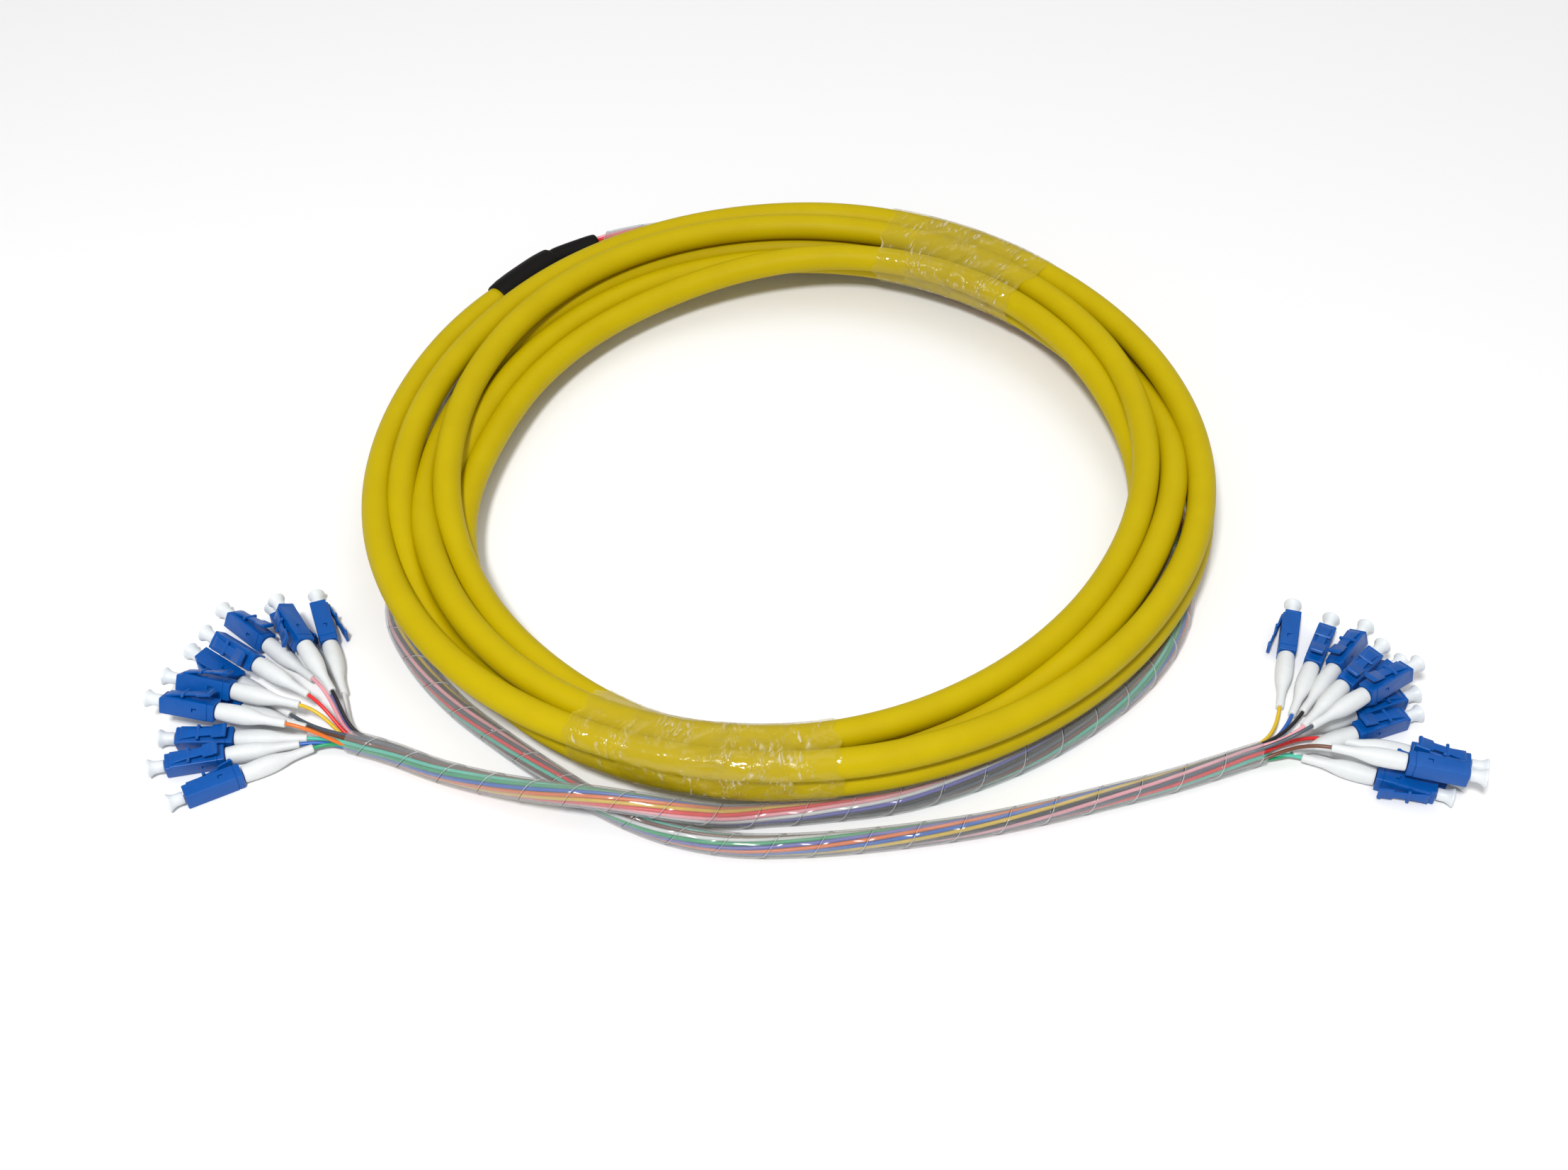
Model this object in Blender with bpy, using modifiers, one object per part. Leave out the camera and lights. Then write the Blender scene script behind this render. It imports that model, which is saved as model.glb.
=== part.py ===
"""A fibre optic trunk cable: a taped coil of yellow cable with a fan of capped connectors at each end.

Metres, +Z up, standing on z = 0. The camera side is -Y. Azimuths are degrees about the coil's centre,
counted from +X towards +Y, so 270 is the front and 90 the back.
"""
import math

import bmesh
import bpy
from mathutils import Matrix, Vector

# Clearance between neighbouring solids
GAP = 0.0003

# Trunk cable and its coil
CABLE_D = 0.0092
OUTER_LANE_R = 0.1351
LANE_SPAN = 0.0237
INNER_LANE_SHIFT = 0.0048
INNER_LANE_SHIFT_AZ = 330.0
FRONT_LANE_R = 0.1050
FRONT_LANE_SHIFT = 0.0144
FRONT_LANE_SHIFT_AZ = 258.0
FRONT_TOP_R = 0.1057
FRONT_TOP_SHIFT = 0.0223
FRONT_TOP_SHIFT_AZ = 245.0
FRONT_SLANT = 0.0102
COIL_STEPS = 64
CORNER_STEPS = 3

# Where the coil's centre lies in the part's frame, so that the origin is at the middle of its footprint
COIL_CENTRE = (-0.0062, 0.0029, 0.0)

# Open stretch on the coil's outer side, where both ends leave it
BREAKOUT_FROM_AZ = 75.0
BREAKOUT_TO_AZ = 141.3

# Heat shrink over each breakout
SHRINK_LARGE_D = 0.0120
SHRINK_SMALL_D = 0.0086
SHRINK_A_DROP = 0.0045
SHRINK_ROLL_IN = 0.88
SHRINK_SIDES = 3
STRAIGHT_START = 0.0030

# Clear spiral wrap over the legs
WRAP_D = 0.0072
WRAP_STEP = 0.0150

# Clear film around the coil
TAPE_T = 0.0006
FRONT_TAPE_AZ = (242.0, 276.0)
BACK_TAPE_AZ = (45.0, 73.0)

# Fibre, boot, housing and cap of one connector
FIBRE_D = 0.0009
FIBRES = 12
BOOT_L = 0.0218
BOOT_WIDE_D = 0.0049
BOOT_NECK_D = 0.0026
HOUSING_L = 0.0176
HOUSING_W = 0.0054
LATCH_W = 0.0042
LATCH_ROOT = 0.0015
LATCH_TIP = 0.0146
LATCH_RISE = 0.0031
LATCH_T = 0.0011
FERRULE_D = 0.00125
FERRULE_L = 0.0036
CAP_L = 0.0052
CAP_BARREL_D = 0.0038
CAP_FLANGE_D = 0.0056
CAP_FLARE_L = 0.0018
CAP_RIM_T = 0.0004
HUB_D = 0.0056
HUB_L = 0.0045

# Places that follow from the sizes above
INNER_LANE_R = OUTER_LANE_R - LANE_SPAN
BREAKOUT_R = OUTER_LANE_R - CABLE_D / 2
SHRINK_SEAT_R = BREAKOUT_R + SHRINK_LARGE_D / 2 + GAP
LANE_PITCH = CABLE_D + GAP
COIL_UNDERSIDE = WRAP_D + TAPE_T + 2 * GAP
LOWER_Z = COIL_UNDERSIDE + CABLE_D / 2
UPPER_Z = LOWER_Z + LANE_PITCH
SHRINK_A_Z = UPPER_Z - SHRINK_A_DROP
COIL_TOP = UPPER_Z + CABLE_D / 2
FLOOR_LEG_Z = WRAP_D / 2

# Heat shrink routes, as degrees along from the edge of the open stretch and millimetres out from its seat
SHRINK_A_LARGE = [(0.3, 0.1), (4.2, 0.6), (8.2, 1.6), (12.0, 2.8)]
SHRINK_A_SMALL = [(16.0, 3.0), (20.0, 2.6)]
SHRINK_B_LARGE = [(0.3, 0.2), (4.0, 0.6), (7.5, 1.2), (11.0, 2.2)]
SHRINK_B_SMALL = [(14.0, 3.4), (17.0, 4.6)]

# Leg routes, as azimuth in degrees, millimetres out from the outermost lane, and height in millimetres
LEG_A = [
    (114.0, 3.6, 17.2), (108.0, 2.9, 15.6), (103.0, 2.3, 12.4), (98.0, 0.9, 8.6), (92.0, -1.8, 4.9),
    (85.0, -5.1, 3.6), (70.0, -8.1, 3.6), (50.0, -9.1, 3.6), (25.0, -8.1, 3.6), (0.0, -6.1, 3.6),
    (-15.0, -1.6, 3.6), (-25.0, 2.9, 3.6), (-35.0, 3.9, 3.6), (-46.0, 2.4, 3.6), (-60.0, 0.9, 3.6),
    (-75.0, 0.9, 3.6), (-87.0, 1.2, 3.6), (-93.5, 2.7, 3.6), (-98.0, 5.8, 5.6), (-102.0, 8.9, 9.4),
    (-107.0, 11.1, 11.4), (-113.0, 13.7, 11.4), (-119.0, 17.1, 9.2), (-125.0, 20.7, 6.2),
    (-131.0, 25.4, 3.9), (-136.5, 30.9, 3.6), (-140.75, 37.9, 3.6),
]
LEG_B = [
    (97.0, 8.9, 9.0), (103.0, 10.1, 4.8), (110.0, 10.3, 3.6), (120.0, 8.4, 3.6), (132.0, 3.9, 3.6),
    (145.0, -2.1, 3.6), (160.0, -6.1, 3.6), (178.0, -6.6, 3.6), (192.0, -3.6, 3.6), (201.0, 1.4, 3.6),
    (207.0, 4.9, 3.6), (215.0, 5.5, 3.6), (223.0, 5.4, 3.6), (231.0, 5.1, 3.6), (239.0, 6.5, 3.6),
    (247.0, 9.7, 3.6), (255.0, 12.9, 3.6), (263.0, 14.1, 3.6), (271.0, 13.3, 3.6), (280.0, 13.3, 3.6),
    (290.0, 15.9, 3.6), (298.0, 19.9, 3.6), (306.0, 26.1, 3.6), (313.0, 34.4, 3.6), (321.2, 47.0, 3.6),
]

# Connectors of each end: where the boot's narrow end lies from the end of the wrap in millimetres, the
# heading in degrees, the height of what the housing lies on, and the latch's roll from straight up
CONNECTORS_A = [
    (-10.5, -2.3, 208.0, 0.1, 90.0), (-14.7, -1.2, 192.0, 0.1, -8.0), (-12.6, 0.9, 180.0, 0.1, -12.0),
    (-18.9, 0.5, 167.0, 7.0, 25.0), (-15.1, 8.4, 165.0, 6.4, 35.0), (-18.8, 10.3, 144.0, 0.1, -90.0),
    (-13.0, 12.3, 145.0, 6.4, -40.0), (-14.8, 24.6, 139.0, 0.1, 30.0), (-6.1, 14.1, 122.0, 6.4, -60.0),
    (-4.4, 19.0, 110.0, 0.1, 90.0), (-13.9, 5.6, 162.0, 0.1, 90.0), (-8.3, 18.0, 124.0, 0.1, 90.0),
]
CONNECTORS_B = [
    (8.6, 18.5, 75.0, 0.1, -90.0), (11.8, 15.3, 64.0, 0.1, 0.0), (14.8, 14.6, 53.0, 0.1, -20.0),
    (12.4, 5.3, 47.0, 6.4, 8.0), (14.0, 2.9, 34.0, 8.9, -12.0), (11.6, 7.3, 24.0, 0.1, 0.0),
    (9.2, 0.0, 21.0, 0.1, 0.0), (23.6, 4.8, 346.0, 0.1, 0.0), (18.5, -4.6, 345.0, 8.9, -90.0),
    (11.9, -1.4, 340.0, 0.1, 90.0), (16.1, 2.2, 343.0, 0.1, 0.0), (14.9, 10.0, 38.0, 0.1, -90.0),
]


def linear(hex_colour):
    """Turn a display colour such as d2be00 into the linear values that a material holds."""
    values = [int(hex_colour[i:i + 2], 16) / 255 for i in (0, 2, 4)]
    return [v / 12.92 if v <= 0.04045 else ((v + 0.055) / 1.055) ** 2.4 for v in values] + [1.0]


def material(name, hex_colour, roughness, metallic=0.0, alpha=1.0):
    mat = bpy.data.materials.new(name)
    mat.use_nodes = True
    shader = mat.node_tree.nodes["Principled BSDF"]
    shader.inputs["Base Color"].default_value = linear(hex_colour)
    shader.inputs["Roughness"].default_value = roughness
    shader.inputs["Metallic"].default_value = metallic
    shader.inputs["Alpha"].default_value = alpha
    return mat


def clear_scene():
    for obj in list(bpy.data.objects):
        bpy.data.objects.remove(obj, do_unlink=True)


def new_collection(name):
    collection = bpy.data.collections.new(name)
    bpy.context.scene.collection.children.link(collection)
    return collection


def polar(azimuth, radius, height):
    angle = math.radians(azimuth)
    return Vector((radius * math.cos(angle), radius * math.sin(angle), height))


def leg_route(points_mm):
    return [polar(az, OUTER_LANE_R + out / 1000, z / 1000) for az, out, z in points_mm]


def shrink_route(points_mm, edge_az, way, height):
    """Points beside the open stretch, going round from one edge of it."""
    return [polar(edge_az + way * along, SHRINK_SEAT_R + out / 1000, height) for along, out in points_mm]


def smooth(points, step):
    """Points about one step apart on a smooth curve through the given points."""
    ends = [2 * points[0] - points[1]] + list(points) + [2 * points[-1] - points[-2]]
    fine = []
    for a, b, c, d in zip(ends, ends[1:], ends[2:], ends[3:]):
        for i in range(12):
            t = i / 12
            fine.append(0.5 * (2 * b + (c - a) * t + (2 * a - 5 * b + 4 * c - d) * t ** 2
                               + (3 * b - a - 3 * c + d) * t ** 3))
    fine.append(points[-1].copy())
    lengths = [0.0]
    for a, b in zip(fine, fine[1:]):
        lengths.append(lengths[-1] + (b - a).length)
    count = max(2, round(lengths[-1] / step))
    result = []
    j = 0
    for i in range(count + 1):
        want = lengths[-1] * i / count
        while j < len(fine) - 2 and lengths[j + 1] < want:
            j += 1
        span = lengths[j + 1] - lengths[j]
        result.append(fine[j].lerp(fine[j + 1], (want - lengths[j]) / span))
    return result


def tube(name, points, radii, resolution, collection):
    """A round tube along the points, with one radius for each of them."""
    curve = bpy.data.curves.new(name, "CURVE")
    curve.dimensions = "3D"
    curve.bevel_depth = 1.0
    curve.bevel_resolution = resolution
    curve.use_fill_caps = True
    spline = curve.splines.new("POLY")
    spline.points.add(len(points) - 1)
    for point, place, radius in zip(spline.points, points, radii):
        point.co = (*place, 1.0)
        point.radius = radius
    spline.use_smooth = True
    obj = bpy.data.objects.new(name, curve)
    collection.objects.link(obj)
    return obj


def as_mesh(obj):
    """Replace an object by the mesh that its curve or modifiers give, with its seams welded."""
    bpy.context.view_layer.update()
    evaluated = obj.evaluated_get(bpy.context.evaluated_depsgraph_get())
    mesh = bpy.data.meshes.new_from_object(evaluated)
    welded = bmesh.new()
    welded.from_mesh(mesh)
    bmesh.ops.remove_doubles(welded, verts=welded.verts, dist=0.000001)
    bmesh.ops.recalc_face_normals(welded, faces=welded.faces)
    welded.to_mesh(mesh)
    welded.free()
    name = obj.name
    result = bpy.data.objects.new(name, mesh)
    result.matrix_world = obj.matrix_world.copy()
    for collection in obj.users_collection:
        collection.objects.link(result)
    bpy.data.objects.remove(obj, do_unlink=True)
    result.name = name
    return result


def turned(name, profile, steps, collection):
    """A solid turned about Z from (radius, height) points that run from the top to the bottom."""
    mesh = bpy.data.meshes.new(name)
    edges = [(i, i + 1) for i in range(len(profile) - 1)]
    mesh.from_pydata([(r, 0.0, z) for r, z in profile], edges, [])
    obj = bpy.data.objects.new(name, mesh)
    collection.objects.link(obj)
    screw = obj.modifiers.new("turn", "SCREW")
    screw.steps = steps
    screw.render_steps = steps
    screw.use_merge_vertices = True
    screw.merge_threshold = 0.00001
    return obj


def slab(name, outline, low, high, collection):
    """A flat outline of (x, y) points, extruded from one height to another."""
    curve = bpy.data.curves.new(name, "CURVE")
    curve.dimensions = "2D"
    curve.fill_mode = "BOTH"
    curve.extrude = (high - low) / 2
    spline = curve.splines.new("POLY")
    spline.use_cyclic_u = True
    spline.points.add(len(outline) - 1)
    for point, (x, y) in zip(spline.points, outline):
        point.co = (x, y, 0.0, 1.0)
    obj = bpy.data.objects.new(name, curve)
    obj.location.z = (low + high) / 2
    collection.objects.link(obj)
    return as_mesh(obj)


def boolean(obj, operation, other, clean=False):
    modifier = obj.modifiers.new(operation.lower(), "BOOLEAN")
    modifier.operation = operation
    modifier.solver = "EXACT"
    modifier.use_self = clean
    modifier.object = other


def as_cutter(obj, cutters):
    for collection in list(obj.users_collection):
        collection.objects.unlink(obj)
    cutters.objects.link(obj)
    obj.hide_render = True
    obj.display_type = "WIRE"
    return obj


def quarter(centre_r, centre_z, radius, start, end):
    """Points of a quarter circle in the plane of a turned profile."""
    angles = [math.radians(start + (end - start) * i / CORNER_STEPS) for i in range(CORNER_STEPS + 1)]
    return [(centre_r + radius * math.cos(a), centre_z + radius * math.sin(a)) for a in angles]


def coil_hole(name, lane_r, edge, cutters):
    """The coil's hole, rounded towards both faces."""
    beyond = 0.01
    return turned(name, [
        (0.0, COIL_TOP + beyond),
        (lane_r, COIL_TOP + beyond),
        *quarter(lane_r, UPPER_Z, edge, 90, 180),
        *quarter(lane_r, LOWER_Z, edge, 180, 270),
        (lane_r, COIL_UNDERSIDE - beyond),
        (0.0, COIL_UNDERSIDE - beyond),
    ], COIL_STEPS, cutters)


def top_hole(name, lane_r, edge, cutters):
    """A hole in the upper layer that slants in to the lower one."""
    beyond = 0.01
    return turned(name, [
        (0.0, COIL_TOP + beyond),
        (lane_r, COIL_TOP + beyond),
        *quarter(lane_r, UPPER_Z, edge, 90, 180),
        (lane_r - edge - FRONT_SLANT, LOWER_Z),
        (0.0, LOWER_Z),
    ], COIL_STEPS, cutters)


def coil_body(name, grow, collection, cutters):
    """The coil's outer shape, with round edges as wide as the cable and its hole a little off centre. At the
    front its turns lie further out, the upper ones most, so two more holes widen it there."""
    edge = CABLE_D / 2 + grow
    puck = turned(name, [
        (0.0, COIL_TOP + grow),
        *quarter(OUTER_LANE_R, UPPER_Z, edge, 90, 0),
        *quarter(OUTER_LANE_R, LOWER_Z, edge, 0, -90),
        (0.0, COIL_UNDERSIDE - grow),
    ], COIL_STEPS, collection)
    holes = (
        (coil_hole, INNER_LANE_R, INNER_LANE_SHIFT, INNER_LANE_SHIFT_AZ),
        (coil_hole, FRONT_LANE_R, FRONT_LANE_SHIFT, FRONT_LANE_SHIFT_AZ),
        (top_hole, FRONT_TOP_R, FRONT_TOP_SHIFT, FRONT_TOP_SHIFT_AZ),
    )
    for i, (make, lane_r, shift, shift_az) in enumerate(holes):
        hole = make(f"{name}_hole_{i}", lane_r, edge, cutters)
        hole.location = polar(shift_az, shift, 0.0)
        boolean(puck, "DIFFERENCE", as_cutter(hole, cutters))
    return puck


def sector(name, inner_r, from_az, to_az, cutters):
    """A block that takes in the coil between two azimuths, outside a radius."""
    outer_r = OUTER_LANE_R + 4 * CABLE_D
    steps = 8
    azimuths = [from_az + (to_az - from_az) * i / steps for i in range(steps + 1)]
    outline = [polar(az, inner_r, 0).to_2d() for az in azimuths]
    outline += [polar(az, outer_r, 0).to_2d() for az in reversed(azimuths)]
    block = slab(name, outline, COIL_UNDERSIDE - CABLE_D, COIL_TOP + CABLE_D, cutters)
    return as_cutter(block, cutters)


def make_coil(parts, cutters):
    coil = coil_body("coil", 0.0, parts, cutters)
    boolean(coil, "DIFFERENCE", sector("breakout", BREAKOUT_R, BREAKOUT_FROM_AZ, BREAKOUT_TO_AZ, cutters))
    return as_mesh(coil)


def make_tape(name, azimuths, parts, cutters):
    """A closed sleeve of film around the coil, a clearance outside it."""
    tape = coil_body(name, GAP + TAPE_T, parts, cutters)
    inside = coil_body(name + "_inside", GAP, cutters, cutters)
    hub_r = INNER_LANE_R / 2
    boolean(tape, "INTERSECT", sector(name + "_span", hub_r, azimuths[0], azimuths[1], cutters))
    boolean(tape, "DIFFERENCE", as_cutter(inside, cutters))
    return as_mesh(tape)


def carry_on(previous, points):
    """Start a route a clearance beyond the end of another one, in line with it."""
    onward = (previous[-1] - previous[-2]).normalized()
    return [previous[-1] + onward * GAP, previous[-1] + onward * (GAP + STRAIGHT_START), *points]


def make_shrink(name, points, diameter, parts):
    """One sleeve of heat shrink, drawn in a little at both ends."""
    points = list(points)
    radii = [diameter / 2] * len(points)
    radii[0] *= SHRINK_ROLL_IN
    radii[-1] *= SHRINK_ROLL_IN
    inset = 0.12
    points.insert(1, points[0].lerp(points[1], inset))
    points.insert(-1, points[-1].lerp(points[-2], inset))
    radii = [radii[0], diameter / 2] + radii[1:-1] + [diameter / 2, radii[-1]]
    return tube(name, points, radii, SHRINK_SIDES, parts)


def wrap_points(leg):
    """The wrap's centreline: a straight start, then a smooth curve that never sinks into the floor."""
    points = [leg[0], *smooth(leg[1:], WRAP_STEP)]
    for point in points:
        point.z = max(point.z, FLOOR_LEG_Z)
    return points


def make_wrap(name, leg, parts):
    points = wrap_points(leg)
    return tube(name, points, [WRAP_D / 2] * len(points), 2, parts)


def resting_height(base, roll):
    """The height of a housing's axis when its rolled square section lies on the given level."""
    angle = math.radians(roll)
    return base + HOUSING_W / 2 * (abs(math.cos(angle)) + abs(math.sin(angle)))


def connector_frame(wrap_end, x_mm, y_mm, heading, base_mm, roll):
    """Where a connector lies: +X runs out of its front face, where the origin is, and +Z to its latch."""
    boot_end = Vector((wrap_end.x + x_mm / 1000, wrap_end.y + y_mm / 1000, resting_height(base_mm / 1000, roll)))
    front = boot_end + polar(heading, BOOT_L + GAP + HOUSING_L, 0.0)
    turn = Matrix.Rotation(math.radians(heading), 4, "Z") @ Matrix.Rotation(math.radians(roll), 4, "X")
    return Matrix.Translation(front) @ turn


def housing_mesh(cutters):
    """The housing with its latch lever and its ferrule, front face at the origin, as one solid."""
    bpy.ops.mesh.primitive_cube_add(size=1.0)
    body = bpy.context.object
    body.name = "housing_body"
    body.data.transform(Matrix.Diagonal((HOUSING_L, HOUSING_W, HOUSING_W, 1.0)))
    body.data.transform(Matrix.Translation((-HOUSING_L / 2, 0.0, 0.0)))
    top = HOUSING_W / 2
    sunk = LATCH_T / 2
    middle = (LATCH_ROOT + LATCH_TIP) / 2
    outline = [
        (-LATCH_ROOT, top - sunk), (-LATCH_ROOT - LATCH_T, top + LATCH_T),
        (-middle, top + LATCH_T + LATCH_RISE * 0.45), (-LATCH_TIP, top + LATCH_RISE),
        (-LATCH_TIP, top + LATCH_RISE - LATCH_T), (-middle, top + LATCH_RISE * 0.45),
        (-LATCH_ROOT - 3 * LATCH_T, top - sunk),
    ]
    latch = slab("latch", outline, -LATCH_W / 2, LATCH_W / 2, cutters)
    latch.data.transform(latch.matrix_world)
    latch.matrix_world = Matrix.Rotation(math.radians(90), 4, "X")
    bpy.ops.mesh.primitive_cylinder_add(vertices=8, radius=FERRULE_D / 2, depth=FERRULE_L + GAP)
    ferrule = bpy.context.object
    ferrule.name = "ferrule"
    ferrule.matrix_world = (Matrix.Translation(((FERRULE_L - GAP) / 2, 0.0, 0.0))
                            @ Matrix.Rotation(math.radians(90), 4, "Y"))
    boolean(body, "UNION", as_cutter(latch, cutters))
    boolean(body, "UNION", as_cutter(ferrule, cutters))
    return as_cutter(as_mesh(body), cutters).data


def cap_mesh(cutters):
    """A dust cap turned about its own axis: a barrel over the ferrule and a flared grip."""
    bore_r = FERRULE_D / 2 + GAP
    bore_end = FERRULE_L + GAP
    flare_start = CAP_L - CAP_RIM_T - CAP_FLARE_L
    cap = turned("cap_body", [
        (0.0, CAP_L), (CAP_FLANGE_D / 2, CAP_L), (CAP_FLANGE_D / 2, CAP_L - CAP_RIM_T),
        (CAP_BARREL_D / 2, flare_start), (CAP_BARREL_D / 2, GAP), (bore_r, GAP),
        (bore_r, bore_end), (0.0, bore_end),
    ], 8, cutters)
    mesh = as_cutter(as_mesh(cap), cutters).data
    mesh.transform(Matrix.Rotation(math.radians(90), 4, "Y"))
    return mesh


def boot_points(frame):
    """Points and radii along a boot, from its narrow end to its end at the housing."""
    stations = [(0.0, BOOT_NECK_D * 0.9), (0.05, BOOT_NECK_D), (0.45, BOOT_NECK_D * 1.1),
                (0.6, BOOT_WIDE_D * 0.88), (0.82, BOOT_WIDE_D), (1.0, BOOT_WIDE_D * 0.92)]
    rear = -HOUSING_L - GAP
    points = [frame @ Vector((rear - BOOT_L * (1 - share), 0.0, 0.0)) for share, _ in stations]
    return points, [diameter / 2 for _, diameter in stations]


def fibre_points(start, start_direction, end, end_direction):
    """Points of a gentle bend from the bundle to a boot."""
    reach = (end - start).length * 0.45
    a, b, c, d = start, start + start_direction * reach, end - end_direction * reach, end
    points = []
    for i in range(6):
        t = i / 5
        points.append(a * (1 - t) ** 3 + b * 3 * t * (1 - t) ** 2 + c * 3 * t ** 2 * (1 - t) + d * t ** 3)
    return points


def make_fan(name, leg, connectors, parts, cutters):
    """The bared fibres of one end with their boots, joined where they leave the wrap."""
    wrap = wrap_points(leg)
    forward = (wrap[-1] - wrap[-2]).normalized()
    side = forward.cross(Vector((0.0, 0.0, 1.0))).normalized()
    mouth = wrap[-1] + forward * GAP
    hub = as_mesh(tube(name, [mouth, mouth + forward * HUB_L], [HUB_D / 2, HUB_D / 2 - FIBRE_D], 2, parts))
    for i, connector in enumerate(connectors):
        frame = connector_frame(wrap[-1], *connector)
        boot, boot_radii = boot_points(frame)
        heading = frame.to_3x3() @ Vector((1.0, 0.0, 0.0))
        turn = 2 * math.pi * i / FIBRES
        spread = (HUB_D / 2 - 2 * FIBRE_D) * (0.5 + 0.5 * (i % 2))
        start = mouth + forward * FIBRE_D + side * spread * math.cos(turn)
        start.z += spread * math.sin(turn)
        bend = fibre_points(start, forward, boot[0] - heading * FIBRE_D / 2, heading)
        radii = [FIBRE_D / 2] * len(bend) + boot_radii
        strand = as_mesh(tube(f"{name}_{i}", bend + boot, radii, 2, cutters))
        boolean(hub, "UNION", as_cutter(strand, cutters), clean=True)
        hub = as_mesh(hub)
    return hub


def make_connectors(end, leg, connectors, housing, cap, looks, parts):
    wrap_end = wrap_points(leg)[-1]
    made = []
    for i, connector in enumerate(connectors, start=1):
        frame = connector_frame(wrap_end, *connector)
        for piece, mesh in (("housing", housing), ("cap", cap)):
            obj = bpy.data.objects.new(f"{piece}_{end}_{i:02d}", mesh.copy())
            obj.matrix_world = frame
            obj.data.materials.append(looks[piece])
            parts.objects.link(obj)
            made.append(obj)
    return made


def finish(objects, look):
    for obj in objects:
        obj.data.materials.clear()
        obj.data.materials.append(look)
    return objects


def main():
    clear_scene()
    parts = new_collection("fibre_optic_trunk_cable")
    cutters = new_collection("cutters")
    looks = {
        "jacket": material("yellow_jacket", "d2be00", 0.42),
        "shrink": material("black_heat_shrink", "0c0c0f", 0.5),
        "wrap": material("clear_wrap", "c8cccc", 0.2, alpha=0.4),
        "tape": material("clear_film", "e6e6d8", 0.1, alpha=0.3),
        "fan": material("white_boot", "e1e4e4", 0.4),
        "housing": material("blue_housing", "0a50b0", 0.35),
        "cap": material("white_cap", "e1e6eb", 0.4),
    }
    made = finish([make_coil(parts, cutters)], looks["jacket"])
    made += finish([make_tape("tape_front", FRONT_TAPE_AZ, parts, cutters),
                    make_tape("tape_back", BACK_TAPE_AZ, parts, cutters)], looks["tape"])
    housing = housing_mesh(cutters)
    cap = cap_mesh(cutters)
    ends = (("a", SHRINK_A_LARGE, SHRINK_A_SMALL, BREAKOUT_TO_AZ, -1, SHRINK_A_Z, LEG_A, CONNECTORS_A),
            ("b", SHRINK_B_LARGE, SHRINK_B_SMALL, BREAKOUT_FROM_AZ, 1, LOWER_Z, LEG_B, CONNECTORS_B))
    for end, large_mm, small_mm, edge_az, way, height, leg_mm, connectors in ends:
        large = shrink_route(large_mm, edge_az, way, height)
        small = carry_on(large, shrink_route(small_mm, edge_az, way, height))
        leg = carry_on(small, leg_route(leg_mm))
        made += finish([make_shrink(f"heat_shrink_{end}_large", large, SHRINK_LARGE_D, parts),
                        make_shrink(f"heat_shrink_{end}_small", small, SHRINK_SMALL_D, parts)], looks["shrink"])
        made += finish([make_wrap(f"spiral_wrap_{end}", leg, parts)], looks["wrap"])
        made += finish([make_fan(f"fibre_fan_{end}", leg, connectors, parts, cutters)], looks["fan"])
        made += make_connectors(end, leg, connectors, housing, cap, looks, parts)
    centre = bpy.data.objects.new("coil_centre", None)
    parts.objects.link(centre)
    centre.location = COIL_CENTRE
    for obj in made:
        obj.parent = centre


main()
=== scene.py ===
# %% [markdown]
# # A fibre optic trunk cable, coiled and taped
#
# The real thing is one thick yellow cable that holds a dozen fibres. It is wound into a flat coil and held
# with clear film. At both ends the jacket stops in black heat shrink, and the fibres run on in a clear
# spiral wrap to small blue plugs. This file dresses the plain model of it, one kind of piece at a time.

import math

import bpy
import numpy as np
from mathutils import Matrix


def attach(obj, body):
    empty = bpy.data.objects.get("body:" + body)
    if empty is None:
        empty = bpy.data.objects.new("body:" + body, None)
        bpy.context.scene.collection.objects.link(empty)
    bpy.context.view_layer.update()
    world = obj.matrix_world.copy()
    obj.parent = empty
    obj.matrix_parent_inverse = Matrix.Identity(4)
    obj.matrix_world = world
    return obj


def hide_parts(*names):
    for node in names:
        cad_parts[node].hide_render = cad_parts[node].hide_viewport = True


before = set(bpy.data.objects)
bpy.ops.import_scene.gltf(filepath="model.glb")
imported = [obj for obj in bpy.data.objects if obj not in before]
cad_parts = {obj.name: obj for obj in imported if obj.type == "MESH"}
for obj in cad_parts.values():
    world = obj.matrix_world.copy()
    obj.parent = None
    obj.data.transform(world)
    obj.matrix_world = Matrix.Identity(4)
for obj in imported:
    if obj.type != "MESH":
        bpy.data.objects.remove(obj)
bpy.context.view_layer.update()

# %% [markdown]
# ## The camera
#
# The photograph looks down on the coil from the front, at about 46 degrees, with no roll. The focal length
# and the distance were fitted to the outline of the coil, so that the near side is as much larger than the
# far side as in the photograph.

# %% Make the camera
MM = 0.001
COIL_CENTRE = np.array([-0.0062, 0.0029, 0.0])
CAMERA_PLACE = COIL_CENTRE + np.array([-0.0021, -0.4973, 0.4776])
CAMERA_PITCH = 0.808
FOCAL_PX = 2846.0
PHOTO_WIDTH_PX = 2214.0

camera_data = bpy.data.cameras.new("camera")
camera_data.sensor_width = 36.0
camera_data.lens = camera_data.sensor_width * FOCAL_PX / PHOTO_WIDTH_PX
camera = bpy.data.objects.new("camera", camera_data)
camera.location = CAMERA_PLACE
camera.rotation_euler = (math.pi / 2 - CAMERA_PITCH, 0.0, 0.0)
bpy.context.scene.collection.objects.link(camera)
bpy.context.scene.camera = camera
print(f"lens {camera_data.lens:.1f} mm")

# %% [markdown]
# ## Routes
#
# Everything here is long and round, so most pieces are a profile carried along a route. A route starts as a
# few points and becomes a smooth curve through them. Sleeves and legs repeat the plain model's points.

# %% Smooth routes and the directions along them
STEPS_PER_SPAN = 24


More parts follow.
